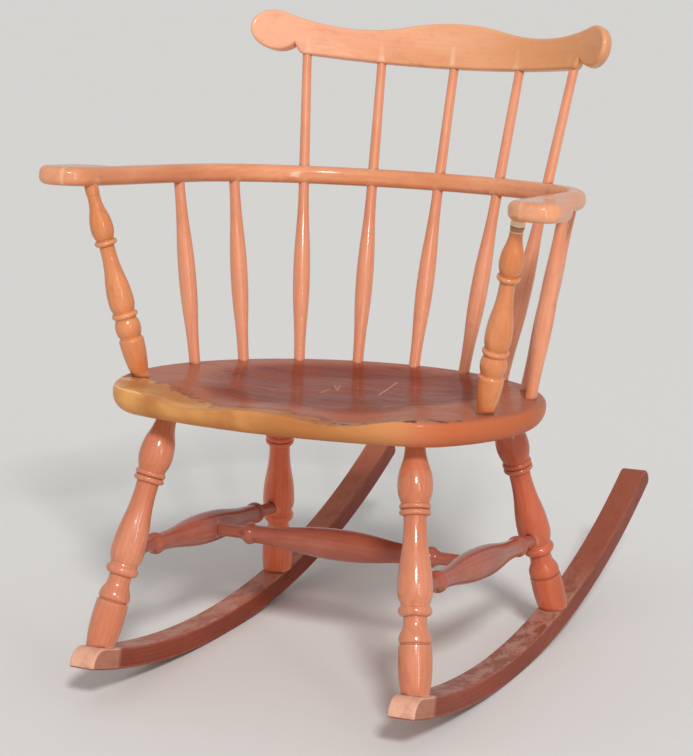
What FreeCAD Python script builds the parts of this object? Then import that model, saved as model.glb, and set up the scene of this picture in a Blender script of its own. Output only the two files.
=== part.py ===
import FreeCAD, Part
import math
import os
import Sketcher

# A comb-back rocking chair of turned and bent maple, in millimetres.
# The origin is on the floor, midway between the rockers, under the line where they touch it.
# The chair is drawn level and then leans back on its rockers to where it hangs at rest.
# +Z is up, -Y is the way a sitter faces, and +X is the right side as seen from the front.
# Left and right in the names are as seen from the front.

Vector = FreeCAD.Vector
SIDES = {"left": -1, "right": 1}

SIZES = {
    "Fits": {
        "glue_gap": 0.1,
        "blind_gap": 1.0,
        "overrun": 6.0,
    },
    "Rockers": {
        "rocker_radius": 1130.0,
        "rocker_height": 28.0,
        "rocker_width": 36.0,
        "rocker_front_reach": 286.0,
        "rocker_rear_reach": 581.0,
        "rocker_splay": 42.3,
        "rocker_toe_degrees": 1.38,
        "rocker_nose_height": 4.0,
        "rocker_tail_top_round": 16.0,
        "rocker_tail_low_round": 9.0,
        "rocker_edge_round": 2.5,
        "rest_lean_degrees": 3.08,
    },
    "Seat": {
        "seat_height": 376.6,
        "seat_tilt_degrees": 2.8,
        "seat_thickness": 35.0,
        "seat_back_radius": 279.0,
        "seat_back_centre": 34.0,
        "seat_front_reach": 246.0,
        "seat_front_radius": 600.0,
        "seat_corner_radius": 80.0,
        "seat_top_round": 8.0,
        "seat_edge_height": 3.0,
    },
    "Saddle": {
        "basin_depth": 10.0,
        "basin_back": 25.0,
        "basin_side_gap": 117.0,
        "basin_end_gap": 82.0,
        "rim_lift": 2.0,
        "front_depth": 5.0,
        "front_half_width": 165.0,
        "thigh_depth": 7.0,
        "thigh_offset": 108.0,
        "thigh_width": 52.0,
        "thigh_start": 60.0,
        "thigh_run": 130.0,
    },
    "Legs": {
        "leg_swell_radius": 22.2,
        "leg_tenon_radius": 13.0,
        "leg_tenon_cover": 13.0,
        "leg_collar": 5.0,
        "leg_foot_allowance": 8.0,
        "foot_tenon_radius": 9.0,
        "foot_tenon_length": 18.0,
        "front_leg_side_gap": 105.3,
        "front_leg_end_gap": 98.8,
        "rear_leg_side_gap": 113.7,
        "rear_leg_end_gap": 90.0,
        "front_foot_reach": 240.9,
        "rear_foot_reach": 236.5,
    },
    "Stretchers": {
        "stretcher_swell_radius": 21.0,
        "stretcher_tenon_radius": 8.3,
        "stretcher_tenon_length": 20.0,
        "stretcher_front_height": 126.5,
        "stretcher_rear_height": 103.2,
    },
    "Arm bow": {
        "bow_height": 633.4,
        "bow_tilt_degrees": 4.25,
        "bow_thickness": 24.4,
        "bow_width": 26.0,
        "bow_back_sweep_degrees": 35.0,
        "arm_flare_degrees": 6.0,
        "arm_reach_past_post": 46.0,
        "bow_edge_round": 9.5,
        "bow_tip_round": 42.0,
    },
    "Hand holds": {
        "hand_hold_width": 44.0,
        "hand_hold_length": 110.0,
        "hand_hold_tail": 40.0,
        "arm_tip_flat": 3.0,
    },
    "Arm posts": {
        "post_swell_radius": 17.0,
        "post_base_radius": 11.3,
        "post_top_radius": 9.0,
        "post_base_tenon": 22.0,
        "post_top_tenon": 14.0,
        "post_collar": 5.0,
        "post_side_gap": 34.9,
        "post_front_gap": 149.0,
        "post_splay": 55.9,
        "post_rake": 39.5,
    },
    "Spindles": {
        "spindle_edge_gap": 22.0,
        "spindle_ring_shift": 6.0,
        "spindle_step_degrees": 18.0,
        "spindle_seat_radius": 7.5,
        "spindle_seat_tenon": 21.0,
        "spindle_swell_radius": 11.8,
        "spindle_bow_radius": 7.15,
        "spindle_bow_tenon": 14.0,
        "spindle_crest_radius": 6.3,
        "spindle_crest_tenon": 30.0,
        "spindle_collar": 5.0,
        "front_short_spindle_back": 64.9,
        "rear_short_spindle_back": 169.6,
    },
    "Crest rail": {
        "crest_height": 762.5,
        "crest_setback": 97.2,
        "crest_lean_degrees": 14.0,
        "crest_bend_radius": 370.0,
        "crest_step_degrees": 16.2,
        "crest_thickness": 19.0,
        "crest_crown": 62.0,
        "crest_dip": 43.0,
        "ear_offset": 234.5,
        "ear_radius": 27.5,
        "ear_rise": 12.0,
        "notch_offset": 205.0,
        "notch_angle_degrees": 35.0,
        "notch_corner_round": 8.0,
        "crest_edge_round": 4.0,
    },
    "Crest pegs": {
        "peg_radius": 2.5,
        "peg_height": 15.0,
        "peg_depth": 8.0,
    },
}

# How a profile or an outline goes from one corner to the next.
STRAIGHT = ("straight",)
LEVEL_START = ("level", "start")
LEVEL_END = ("level", "end")


def curve(turn_share):
    """Two arcs, level where they start and end, that meet at this share of the way."""
    return ("curve", turn_share)


def bend(radius, side):
    """One arc of this radius, with its centre to the left (1) or the right (-1) of the way."""
    return ("bend", radius, side)


# Turnings: each row is the share of the length, the share of the swell radius, and the way on.
LEG_SHARES = [
    (0.172, 1.000, LEVEL_START),
    (0.236, 0.800, STRAIGHT),
    (0.241, 0.800, LEVEL_END),
    (0.253, 0.892, LEVEL_START),
    (0.265, 0.790, LEVEL_END),
    (0.277, 0.892, LEVEL_START),
    (0.289, 0.740, STRAIGHT),
    (0.291, 0.650, STRAIGHT),
    (0.320, 0.645, curve(0.50)),
    (0.577, 0.990, LEVEL_START),
    (0.630, 0.800, STRAIGHT),
    (0.637, 0.820, LEVEL_END),
    (0.656, 0.955, LEVEL_START),
    (0.675, 0.780, STRAIGHT),
    (0.677, 0.660, STRAIGHT),
    (0.703, 0.660, curve(0.45)),
    (0.769, 0.925, LEVEL_START),
    (0.780, 0.840, STRAIGHT),
    (0.784, 0.840, STRAIGHT),
    (0.788, 0.935, LEVEL_END),
    (0.855, 0.965, LEVEL_START),
    (1.000, 0.720, STRAIGHT),
]
POST_SHARES = [
    (0.190, 0.965, LEVEL_START),
    (0.205, 0.835, STRAIGHT),
    (0.211, 0.835, LEVEL_END),
    (0.258, 1.000, LEVEL_START),
    (0.299, 0.855, STRAIGHT),
    (0.303, 0.825, STRAIGHT),
    (0.311, 0.855, LEVEL_END),
    (0.326, 1.010, LEVEL_START),
    (0.341, 0.850, STRAIGHT),
    (0.344, 0.835, LEVEL_END),
    (0.396, 1.000, curve(0.50)),
    (0.655, 0.590, STRAIGHT),
    (0.688, 0.585, STRAIGHT),
    (0.692, 0.700, LEVEL_END),
    (0.706, 0.870, LEVEL_START),
    (0.720, 0.690, STRAIGHT),
    (0.723, 0.670, LEVEL_END),
    (0.777, 0.885, curve(0.55)),
    (0.935, 0.495, STRAIGHT),
    (0.952, 0.495, STRAIGHT),
]
STRETCHER_SHARES = [
    (0.124, 0.395, LEVEL_START),
    (0.150, 0.560, LEVEL_END),
    (0.166, 0.690, LEVEL_START),
    (0.183, 0.580, STRAIGHT),
    (0.187, 0.570, curve(0.50)),
    (0.500, 1.000, curve(0.50)),
    (0.813, 0.570, STRAIGHT),
    (0.817, 0.580, LEVEL_END),
    (0.834, 0.690, LEVEL_START),
    (0.850, 0.560, LEVEL_END),
    (0.876, 0.395, STRAIGHT),
]
REAR_LEG_SINK_SHARE = 0.6
SWELL_PLACE_SHARE = 0.47
DIP_PLACE_SHARE = 0.63
SADDLE_GRID_SHARES = [step / 20 - 0.5 for step in range(21)]

document = FreeCAD.newDocument("HoopBackRocker")
sheet = document.addObject("Spreadsheet::Sheet", "Sizes")


class Size:
    """A length and the sheet expression that gives it."""

    def __init__(self, value, text):
        self.value = value
        self.text = text

    def __add__(self, other):
        return Size(self.value + other.value, f"({self.text} + {other.text})")

    def __sub__(self, other):
        return Size(self.value - other.value, f"({self.text} - {other.text})")

    def __mul__(self, share):
        return Size(self.value * share, f"({self.text} * {share})")


ZERO = Size(0.0, "0")
known = {}
rows = []


def write_row(label, value=None):
    """Adds a row to the sheet: a label and, for a size, its cell."""
    rows.append(label)
    row = len(rows)
    sheet.set(f"A{row}", label)
    if value is not None:
        sheet.set(f"B{row}", str(value))
        sheet.setAlias(f"B{row}", label)


def keep(name, value):
    """Keeps a size under its name in the sheet and gives it back with its expression."""
    write_row(name, value)
    known[name] = Size(value, f"Sizes.{name}")
    return known[name]


def size(name):
    return known[name]


def mm(name):
    return known[name].value


for heading, group in SIZES.items():
    write_row(heading)
    for size_name, number in group.items():
        keep(size_name, number)
write_row("Worked out")


def keep_sum(name, first, gap, way):
    """A size that stands a named gap out from another size, or in from it."""
    return keep(name, mm(first) + way * mm(gap))


keep("seat_back_reach", mm("seat_back_radius") - mm("seat_back_centre"))
keep_sum("front_leg_offset", "seat_back_radius", "front_leg_side_gap", -1)
keep_sum("rear_leg_offset", "seat_back_radius", "rear_leg_side_gap", -1)
keep_sum("front_leg_reach", "seat_front_reach", "front_leg_end_gap", -1)
keep_sum("rear_leg_reach", "seat_back_reach", "rear_leg_end_gap", -1)
keep_sum("rocker_half_spread", "front_leg_offset", "rocker_splay", 1)
keep_sum("rocker_tip_round", "rocker_height", "rocker_nose_height", -1)
keep_sum("leg_tenon_length", "seat_thickness", "leg_tenon_cover", -1)
keep("seat_under_round", mm("seat_thickness") - mm("seat_top_round") - mm("seat_edge_height"))
arm_width = mm("bow_width") + mm("hand_hold_width")
keep("hand_hold_tip_round", arm_width - mm("bow_tip_round") - mm("arm_tip_flat"))
keep_sum("post_base_offset", "seat_back_radius", "post_side_gap", -1)
keep_sum("post_base_reach", "seat_front_reach", "post_front_gap", -1)
keep_sum("post_top_offset", "post_base_offset", "post_splay", 1)
keep_sum("post_top_reach", "post_base_reach", "post_rake", 1)
keep_sum("spindle_ring_radius", "seat_back_radius", "spindle_edge_gap", -1)
keep_sum("spindle_ring_centre", "seat_back_centre", "spindle_ring_shift", -1)
keep_sum("crest_back", "seat_back_reach", "crest_setback", 1)
keep_sum("basin_half_width", "seat_back_radius", "basin_side_gap", -1)
keep_sum("basin_half_length", "seat_back_reach", "basin_end_gap", -1)


# Frames: a seat plane, an arm plane, the leaning crest and the two rockers, all leant back alike.
stance = FreeCAD.Placement(
    Vector(0, 0, 0),
    FreeCAD.Rotation(Vector(1, 0, 0), -mm("rest_lean_degrees")),
    Vector(0, 0, mm("rocker_radius")),
)


def tilted_frame(origin, degrees):
    """A frame at origin whose back edge is turned down by these degrees."""
    turn = FreeCAD.Rotation(Vector(1, 0, 0), -degrees)
    return stance * FreeCAD.Placement(origin, turn)


seat_frame = tilted_frame(Vector(0, 0, mm("seat_height")), mm("seat_tilt_degrees"))
bow_frame = tilted_frame(Vector(0, 0, mm("bow_height")), mm("bow_tilt_degrees"))
crest_frame = tilted_frame(
    Vector(0, mm("crest_back"), mm("crest_height")), mm("crest_lean_degrees")
)


def rocker_frame(side):
    turn = FreeCAD.Rotation(Vector(0, 0, 1), side * mm("rocker_toe_degrees"))
    return stance * FreeCAD.Placement(Vector(side * mm("rocker_half_spread"), 0, 0), turn)


def place(frame, across, back, lift=0.0):
    return frame.multVec(Vector(across, back, lift))


def along(start, end):
    """A placement at start with +Z toward end."""
    return FreeCAD.Placement(start, FreeCAD.Rotation(Vector(0, 0, 1), end - start))


def step_from(start, end, distance):
    """The point at this distance from start, on the line to end."""
    direction = end - start
    direction.normalize()
    return start + direction * distance


def meet(start, end, frame, lift=0.0):
    """Where the line from start to end crosses the plane at this lift in the frame."""
    low = frame.inverse().multVec(start)
    high = frame.inverse().multVec(end)
    share = (lift - low.z) / (high.z - low.z)
    return start + (end - start) * share


# Sketches and solids.
def sketch_on(body, role):
    """An empty sketch on the body's own origin plane with this role."""
    plane = next(item for item in body.Origin.OriginFeatures if item.Role == role)
    sketch = body.newObject("Sketcher::SketchObject", "Outline")
    sketch.AttachmentSupport = [(plane, "")]
    sketch.MapMode = "FlatFace"
    return sketch


def spread_curves(corners):
    """The same corners with each two-arc curve split where its arcs meet."""
    split = []
    for index, (across, up, way) in enumerate(corners):
        if way[0] != "curve":
            split.append((across, up, way))
            continue
        next_across, next_up, _ = corners[(index + 1) % len(corners)]
        turn_share = way[1]
        split.append((across, up, LEVEL_START))
        turn_across = across + (next_across - across) * turn_share
        turn_up = up + (next_up - up) * turn_share
        split.append((turn_across, turn_up, LEVEL_END))
    return split


def arc_between(start, end, centre):
    """The shorter arc from start to end about the centre."""
    middle = (start + end) * 0.5 - centre
    middle.normalize()
    return Part.Arc(start, centre + middle * (start - centre).Length, end)


def level_centre(fixed, other):
    """The centre, level with fixed, of the arc through both points."""
    rise = other.y - fixed.y
    run = other.x - fixed.x
    return Vector(fixed.x + (run * run + rise * rise) / (2 * run), fixed.y, 0)


def bend_centre(start, end, radius, side):
    half = (end - start) * 0.5
    off = math.sqrt(max(radius * radius - half.Length * half.Length, 0))
    square = Vector(-half.y, half.x, 0)
    square.normalize()
    return start + half + square * (off * side)


def bind(sketch, kind, item, point, length, name):
    """Ties a point's distance from the origin, or an arc's radius, to its size."""
    if kind == "Radius":
        number = sketch.addConstraint(Sketcher.Constraint(kind, item, length.value))
    else:
        number = sketch.addConstraint(
            Sketcher.Constraint(kind, -1, 1, item, point, length.value)
        )
    sketch.renameConstraint(number, name)
    sketch.setExpression(f"Constraints.{name}", length.text)


def trace(sketch, corners):
    """Draws a closed outline through the corners, each (across, up, way to the next)."""
    corners = spread_curves(corners)
    points = [Vector(across.value, up.value, 0) for across, up, _ in corners]
    ends = []
    for index, (_, _, way) in enumerate(corners):
        start = points[index]
        end = points[(index + 1) % len(points)]
        if way[0] == "straight":
            item = sketch.addGeometry(Part.LineSegment(start, end), False)
        elif way[0] == "level":
            fixed, other = (start, end) if way[1] == "start" else (end, start)
            arc = arc_between(start, end, level_centre(fixed, other))
            item = sketch.addGeometry(arc, False)
        else:
            centre = bend_centre(start, end, way[1].value, way[2])
            item = sketch.addGeometry(arc_between(start, end, centre), False)
        near_start = (sketch.getPoint(item, 1) - start).Length
        far_start = (sketch.getPoint(item, 2) - start).Length
        ends.append((item, 1, 2) if near_start < far_start else (item, 2, 1))
    for index, (across, up, way) in enumerate(corners):
        item, first, last = ends[index]
        next_item, next_first, _ = ends[(index + 1) % len(ends)]
        sketch.addConstraint(
            Sketcher.Constraint("Coincident", item, last, next_item, next_first)
        )
        for length, kind, axis in ((across, "DistanceX", -2), (up, "DistanceY", -1)):
            if length is ZERO:
                sketch.addConstraint(
                    Sketcher.Constraint("PointOnObject", item, first, axis)
                )
            else:
                bind(sketch, kind, item, first, length, f"{kind}{index}")
        if way[0] == "level":
            point = first if way[1] == "start" else last
            sketch.addConstraint(Sketcher.Constraint("Horizontal", item, 3, item, point))
        elif way[0] == "bend":
            bind(sketch, "Radius", item, 3, way[1], f"Radius{index}")


def mirrored(half):
    """The other half of an outline that is the same on both sides, in its drawing order."""
    other = []
    for index in reversed(range(len(half))):
        across, up, _ = half[index]
        way = half[index - 1][2] if index else STRAIGHT
        other.append((across * -1, up, way))
    return other


def stations(table, start, length, girth):
    """Corners of a turned profile from its table of shares."""
    return [
        (girth * girth_share, start + length * length_share, way)
        for length_share, girth_share, way in table
    ]


def turned(name, placement, corners):
    """A body turned about its own Z axis, from a profile whose corners climb that axis."""
    body = document.addObject("PartDesign::Body", name)
    sketch = sketch_on(body, "XZ_Plane")
    top = corners[-1][1]
    trace(sketch, [(ZERO, ZERO, STRAIGHT)] + corners + [(ZERO, top, STRAIGHT)])
    turning = body.newObject("PartDesign::Revolution", "Turning")
    turning.Profile = sketch
    turning.ReferenceAxis = (sketch, ["V_Axis"])
    turning.Angle = 360
    body.Placement = placement
    return body


def cylinder(name, placement, radius, height):
    """A round piece or tool that stands at the placement."""
    piece = document.addObject("Part::Cylinder", name)
    piece.setExpression("Radius", radius.text)
    piece.setExpression("Height", height.text)
    piece.Placement = placement
    return piece


def drill(name, mouth, inside, radius, depth):
    """A boring tool from just outside the mouth to a depth, toward the inside point."""
    start = step_from(mouth, inside, -mm("overrun"))
    return cylinder(name, along(start, inside), radius, depth + size("overrun"))


def cut(name, piece, tools):
    """The piece without the tools."""
    bits = document.addObject("Part::Compound", f"{name}_waste")
    bits.Links = tools
    result = document.addObject("Part::Cut", name)
    result.Base = piece
    result.Tool = bits
    return result


def joined(kind, name, first, second):
    result = document.addObject(kind, name)
    result.Base = first
    result.Tool = second
    result.Refine = True
    return result


def edges_where(feature, test):
    return [
        f"Edge{number}" for number, edge in enumerate(feature.Shape.Edges, 1) if test(edge)
    ]


def rounded(body, feature, radius, test):
    """Rounds the feature's edges that pass the test."""
    document.recompute()
    fillet = body.newObject("PartDesign::Fillet", "Round")
    fillet.Base = (feature, edges_where(feature, test))
    fillet.setExpression("Radius", radius.text)
    return fillet


def flat_at(height):
    """A test for edges that lie all at one height of their body."""
    slack = mm("glue_gap")
    return lambda edge: (
        abs(edge.BoundBox.ZMax - height) < slack and abs(edge.BoundBox.ZMin - height) < slack
    )


def padded(name, role, corners, length, side_type="Symmetric", reverse=False):
    """A body padded from one closed outline; gives back the body and its pad."""
    body = document.addObject("PartDesign::Body", name)
    sketch = sketch_on(body, role)
    trace(sketch, corners)
    pad = body.newObject("PartDesign::Pad", "Pad")
    pad.Profile = sketch
    pad.SideType = side_type
    pad.Reversed = reverse
    pad.setExpression("Length", length.text)
    return body, pad


pieces = []


def name_piece(piece, label):
    piece.Label = label
    pieces.append(piece)


# Rockers: an arc of a board, with the feet of the legs let into its top.
rocker_top_radius = size("rocker_radius") - size("rocker_height")


def rocker_end(name, reach):
    """The lower and upper corners of a rocker's end, cut square to its curve."""
    angle = math.asin(reach / mm("rocker_radius"))
    low_radius = mm("rocker_radius")
    high_radius = rocker_top_radius.value
    low = (
        keep(f"rocker_{name}_low_reach", low_radius * math.sin(angle)),
        keep(f"rocker_{name}_low_rise", mm("rocker_radius") - low_radius * math.cos(angle)),
    )
    high = (
        keep(f"rocker_{name}_high_reach", high_radius * math.sin(angle)),
        keep(f"rocker_{name}_high_rise", mm("rocker_radius") - high_radius * math.cos(angle)),
    )
    return low, high


def rocker_foot(side, reach):
    """The point on the middle of a rocker's top at this reach behind the contact line."""
    rise = mm("rocker_radius") - math.sqrt(rocker_top_radius.value**2 - reach**2)
    return place(rocker_frame(side), 0, reach, rise)


front_low, front_high = rocker_end("front", -mm("rocker_front_reach"))
rear_low, rear_high = rocker_end("rear", mm("rocker_rear_reach"))
rocker_outline = [
    (*front_low, bend(size("rocker_radius"), 1)),
    (*rear_low, STRAIGHT),
    (*rear_high, bend(rocker_top_radius, -1)),
    (*front_high, STRAIGHT),
]


def rocker_blank(name, side):
    body, pad = padded(f"{name}_blank", "YZ_Plane", rocker_outline, size("rocker_width"))
    slack = mm("glue_gap")

    def at_corner(corner):
        place_of_corner = Vector(0, corner[0].value, corner[1].value)
        return lambda edge: (edge.CenterOfMass - place_of_corner).Length < slack

    nose = rounded(body, pad, size("rocker_tip_round"), at_corner(front_high))
    tail_top = rounded(body, nose, size("rocker_tail_top_round"), at_corner(rear_high))
    tail = rounded(body, tail_top, size("rocker_tail_low_round"), at_corner(rear_low))
    rounded(body, tail, size("rocker_edge_round"), lambda edge: True)
    body.Placement = rocker_frame(side)
    return body


# Legs: one turning, set in the seat and standing on the rockers.
LEG_PLACES = {
    "front": ("front_leg_offset", "front_leg_reach", "front_foot_reach", -1),
    "rear": ("rear_leg_offset", "rear_leg_reach", "rear_foot_reach", 1),
}
leg_tenons = {
    "front": size("leg_tenon_length"),
    "rear": size("leg_tenon_length") + size("leg_collar") * REAR_LEG_SINK_SHARE,
}


def leg_ends(end, side):
    """Where a leg meets the seat's underside, and where it stands on its rocker."""
    offset, reach, foot_reach, way = LEG_PLACES[end]
    top = place(seat_frame, side * mm(offset), way * mm(reach), -mm("seat_thickness"))
    return top, rocker_foot(side, way * mm(foot_reach))


leg_lengths = {}
for end in LEG_PLACES:
    top, foot = leg_ends(end, 1)
    leg_lengths[end] = (top - foot).Length
leg_turning_length = keep(
    "leg_turning_length", max(leg_lengths.values()) + mm("leg_foot_allowance")
)
leg_profile = [
    (size("leg_tenon_radius"), ZERO, STRAIGHT),
    (size("leg_tenon_radius"), size("leg_tenon_length") + size("leg_collar"), curve(0.50)),
]
leg_profile += stations(
    LEG_SHARES, size("leg_tenon_length"), leg_turning_length, size("leg_swell_radius")
)


def leg_turning(name, top, foot, side, tenon_length):
    """A leg trimmed to the rocker's top, with its foot tenon, not yet bored."""
    tenon_end = step_from(top, foot, -tenon_length.value)
    turning = turned(f"{name}_turning", along(tenon_end, foot), leg_profile)
    reach = keep(f"{name}_trim_width", 4 * mm("rocker_width"))
    frame = rocker_frame(side)
    axle_start = place(frame, -reach.value / 2, 0, mm("rocker_radius"))
    axle_end = place(frame, reach.value / 2, 0, mm("rocker_radius"))
    above = cylinder(f"{name}_above_rocker", along(axle_start, axle_end), rocker_top_radius, reach)
    trimmed = joined("Part::Common", f"{name}_trimmed", turning, above)
    root = step_from(foot, top, mm("foot_tenon_radius"))
    tenon = cylinder(
        f"{name}_foot_tenon",
        along(root, step_from(foot, top, -mm("foot_tenon_length"))),
        size("foot_tenon_radius"),
        size("foot_tenon_length") + size("foot_tenon_radius"),
    )
    return joined("Part::Fuse", f"{name}_whole", trimmed, tenon)


def stretcher_point(end, side):
    """Where a side stretcher's line meets the line of a leg."""
    top, foot = leg_ends(end, side)
    return step_from(foot, top, mm(f"stretcher_{end}_height"))


def stretcher_profile(length):
    profile = [(size("stretcher_tenon_radius"), ZERO, STRAIGHT)]
    profile += stations(STRETCHER_SHARES, ZERO, length, size("stretcher_swell_radius"))
    first = profile[1]
    last = profile[-1]
    profile[1] = (size("stretcher_tenon_radius"), first[1], first[2])
    profile[-1] = (size("stretcher_tenon_radius"), last[1], STRAIGHT)
    profile.append((size("stretcher_tenon_radius"), length, STRAIGHT))
    return profile


def stretcher(name, start, end, host_radius):
    """A stretcher between two axis points of hosts of this radius, with its two borings."""
    inset = host_radius - mm("stretcher_tenon_length")
    low = step_from(start, end, inset)
    high = step_from(end, start, inset)
    length = keep(f"{name}_length", (high - low).Length)
    body = turned(f"{name}_turning", along(low, high), stretcher_profile(length))
    bore_depth = size("stretcher_tenon_length") + size("blind_gap")
    bores = []
    for order, (near, far) in enumerate(((start, end), (end, start))):
        mouth = step_from(near, far, host_radius)
        tool = drill(f"{name}_bore_{order}", mouth, near, stretcher_bore_radius, bore_depth)
        bores.append(tool)
    return body, bores


stretcher_bore_radius = size("stretcher_tenon_radius") + size("glue_gap")
leg_bores = {}
side_stretchers = {}
middles = {}
for side_name, side in SIDES.items():
    front_point = stretcher_point("front", side)
    rear_point = stretcher_point("rear", side)
    middles[side_name] = (front_point + rear_point) * 0.5
    body, bores = stretcher(
        f"{side_name}_side_stretcher", front_point, rear_point, mm("leg_swell_radius")
    )
    side_stretchers[side_name] = body
    leg_bores["front", side_name] = bores[0]
    leg_bores["rear", side_name] = bores[1]
centre_body, centre_bores = stretcher(
    "centre_stretcher", middles["left"], middles["right"], mm("stretcher_swell_radius")
)
for side_name, bore in zip(SIDES, centre_bores):
    whole = cut(f"{side_name}_side_stretcher", side_stretchers[side_name], [bore])
    name_piece(whole, f"{side_name}_side_stretcher")
name_piece(centre_body, "centre_stretcher")

seat_bores = []
leg_bore_radius = size("leg_tenon_radius") + size("glue_gap")
foot_bore_radius = size("foot_tenon_radius") + size("glue_gap")
for side_name, side in SIDES.items():
    foot_bores = []
    for end in LEG_PLACES:
        name = f"{end}_{side_name}_leg"
        top, foot = leg_ends(end, side)
        whole = leg_turning(name, top, foot, side, leg_tenons[end])
        name_piece(cut(name, whole, [leg_bores[end, side_name]]), name)
        inside_seat = step_from(top, foot, -leg_tenons[end].value)
        inside_rocker = step_from(foot, top, -mm("foot_tenon_length"))
        seat_depth = leg_tenons[end] + size("blind_gap")
        foot_depth = size("foot_tenon_length") + size("blind_gap")
        seat_bores.append(
            drill(f"{name}_seat_bore", top, inside_seat, leg_bore_radius, seat_depth)
        )
        foot_bores.append(
            drill(f"{name}_foot_bore", foot, inside_rocker, foot_bore_radius, foot_depth)
        )
    blank = rocker_blank(f"{side_name}_rocker", side)
    name_piece(cut(f"{side_name}_rocker", blank, foot_bores), f"{side_name}_rocker")

# Crest rail, bent about a line in front of it. Its outline is a crown, two dips and two round ears.
ear_top = size("crest_dip") + size("ear_rise")
ear_centre_up = ear_top - size("ear_radius")
dip_across = mm("ear_offset") * DIP_PLACE_SHARE
crown_drop = mm("crest_crown") - mm("crest_dip")
crown_and_dip = (dip_across**2 + crown_drop**2) / (2 * crown_drop)
dip_to_ear = mm("ear_offset") - dip_across
ear_below_dip = mm("crest_dip") - ear_centre_up.value
dip_radius = keep(
    "dip_radius",
    (dip_to_ear**2 + ear_below_dip**2 - mm("ear_radius") ** 2) / (2 * mm("ear_rise")),
)
crown_radius = keep("crown_radius", crown_and_dip - dip_radius.value)
dip_centre = Vector(dip_across, mm("crest_dip") + dip_radius.value, 0)
crown_centre = Vector(0, mm("crest_crown") - crown_radius.value, 0)
ear_centre = Vector(mm("ear_offset"), ear_centre_up.value, 0)


def keep_point(name, point):
    return keep(f"{name}_across", point.x), keep(f"{name}_up", point.y)


notch_turn = math.radians(mm("notch_angle_degrees"))
notch_apex = ear_centre - Vector(math.cos(notch_turn), math.sin(notch_turn), 0) * mm("ear_radius")
crest_half = [
    (size("notch_offset"), ZERO, STRAIGHT),
    (*keep_point("notch_apex", notch_apex), bend(size("ear_radius"), 1)),
    (size("ear_offset") + size("ear_radius"), ear_centre_up, bend(size("ear_radius"), 1)),
    (
        *keep_point("ear_top", step_from(ear_centre, dip_centre, mm("ear_radius"))),
        bend(dip_radius, -1),
    ),
    (
        *keep_point("crown_end", step_from(crown_centre, dip_centre, crown_radius.value)),
        bend(crown_radius, 1),
    ),
]
crest_outline = crest_half + mirrored(crest_half)


def circle_in(sketch, radius, centre_up, name):
    """A circle on the sketch's upright axis, with its centre this far below the origin."""
    item = sketch.addGeometry(
        Part.Circle(Vector(0, -centre_up.value, 0), Vector(0, 0, 1), radius.value), False
    )
    sketch.addConstraint(Sketcher.Constraint("PointOnObject", item, 3, -2))
    bind(sketch, "DistanceY", item, 3, centre_up * -1, f"{name}_up")
    bind(sketch, "Radius", item, 3, radius, f"{name}_radius")


def pocket_through(body, sketch):
    pocket = body.newObject("PartDesign::Pocket", "Waste")
    pocket.Profile = sketch
    pocket.Type = "ThroughAll"
    pocket.SideType = "Symmetric"
    return pocket


def crest_blank():
    """The rail, bent, shaped and rounded, not yet bored."""
    depth = size("crest_bend_radius") * 2
    body, pad = padded("crest_blank", "XZ_Plane", crest_outline, depth)
    slack = mm("glue_gap")

    def is_notch_corner(edge):
        centre = edge.CenterOfMass
        return abs(abs(centre.x) - mm("notch_offset")) < slack and abs(centre.z) < slack

    rounded(body, pad, size("notch_corner_round"), is_notch_corner)
    bend_radius = size("crest_bend_radius")
    half_thickness = size("crest_thickness") * 0.5
    inner = sketch_on(body, "XY_Plane")
    circle_in(inner, bend_radius - half_thickness, bend_radius, "inner")
    pocket_through(body, inner)
    outer = sketch_on(body, "XY_Plane")
    circle_in(outer, bend_radius + half_thickness, bend_radius, "outer")
    beyond = bend_radius * 3
    near = bend_radius * -3
    trace(
        outer,
        [
            (near, near, STRAIGHT),
            (beyond, near, STRAIGHT),
            (beyond, beyond, STRAIGHT),
            (near, beyond, STRAIGHT),
        ],
    )
    shell = pocket_through(body, outer)

    def on_face(edge):
        radii = [
            math.hypot(vertex.X, vertex.Y + bend_radius.value) for vertex in edge.Vertexes
        ]
        spread = max(radii) - min(radii)
        off_middle = abs(abs(radii[0] - bend_radius.value) - half_thickness.value)
        return spread < slack and off_middle < slack

    rounded(body, shell, size("crest_edge_round"), on_face)
    body.Placement = crest_frame
    return body


def crest_point(step):
    """The middle of the rail's underside at this many steps from its centre."""
    angle = math.radians(step * mm("crest_step_degrees"))
    radius = mm("crest_bend_radius")
    return place(crest_frame, radius * math.sin(angle), radius * (math.cos(angle) - 1))


def seat_ring_point(step):
    angle = math.radians(step * mm("spindle_step_degrees"))
    radius = mm("spindle_ring_radius")
    back = radius * math.cos(angle) - mm("spindle_ring_centre")
    return place(seat_frame, radius * math.sin(angle), back)


# Arm bow: its back arc runs through the long spindles, and its arms run over the posts.
long_steps = (-2, -1, 0, 1, 2)
long_lines = {step: (seat_ring_point(step), crest_point(step)) for step in long_steps}
middle_pass = bow_frame.inverse().multVec(meet(*long_lines[0], bow_frame))
outer_pass = bow_frame.inverse().multVec(meet(*long_lines[2], bow_frame))
pass_drop = middle_pass.y - outer_pass.y
bow_back_radius = (outer_pass.x**2 + pass_drop**2) / (2 * pass_drop)
bow_back_centre = Vector(0, middle_pass.y - bow_back_radius, 0)

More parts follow.
